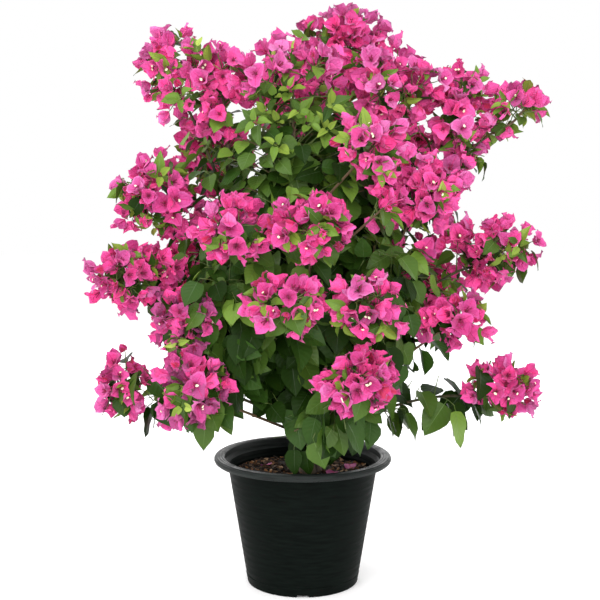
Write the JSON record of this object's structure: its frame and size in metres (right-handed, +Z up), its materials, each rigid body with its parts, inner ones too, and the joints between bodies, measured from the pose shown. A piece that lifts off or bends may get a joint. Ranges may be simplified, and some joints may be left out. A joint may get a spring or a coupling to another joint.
{
  "type": "potted bougainvillea bush",
  "caption": "Flowering bougainvillea bush with woody stems, arching boughs and masses of blossom and leaves, standing in a round nursery pot.",
  "frame": {"origin": "middle of the pot's flat underside, where the plant stands", "axes": "+Z up along the pot's axis; +X to the right and -Y towards the front of the plant as the picture shows it"},
  "size_m": [1.025, 0.8318, 1.2926],
  "materials": {
    "pot_plastic": "moulded polypropylene, satin",
    "potting_soil": "bark chips and coir, rough",
    "bark": "grey-brown woody bark, rough",
    "bract": "papery bracts, soft sheen",
    "leaf": "waxy leaf, satin"
  },
  "bodies": {
    "root": {"pot": "pot_plastic", "potting_soil": "potting_soil", "bough_left_arm": "bark", "bough_left_peak": "bark", "bough_left_shoulder": "bark", "bough_left_tip": "bark", "bough_rear_left": "bark", "bough_rear_peak_left": "bark", "bough_rear_peak_right": "bark", "bough_rear_right": "bark", "bough_right_arm": "bark", "bough_right_peak": "bark", "bough_right_spray": "bark", "bough_right_tip": "bark", "stem_front": "bark", "stem_left": "bark", "stem_rear": "bark", "stem_right": "bark", "trunk": "bark", "crest": "bract", "front_foot": "bract", "front_heart": "bract", "front_left": "bract", "front_low_left": "bract", "front_low_right": "bract", "front_peak": "bract", "front_right": "bract", "left_arm": "bract", "left_foot": "bract", "left_low": "bract", "left_peak": "bract", "left_shoulder": "bract", "left_tip": "bract", "rear_foot": "bract", "rear_heart": "bract", "rear_left": "bract", "rear_peak_left": "bract", "rear_peak_right": "bract", "rear_right": "bract", "right_arm": "bract", "right_low": "bract", "right_peak": "bract", "right_shoulder": "bract", "right_spray": "bract", "right_tip": "bract", "top_centre": "bract", "top_left": "bract", "top_rear": "bract", "top_right": "bract", "leaves_front_left": "leaf", "leaves_front_right": "leaf", "leaves_low": "leaf", "leaves_rear_left": "leaf", "leaves_rear_right": "leaf", "leaves_upper": "leaf"}
  },
  "joints": []
}
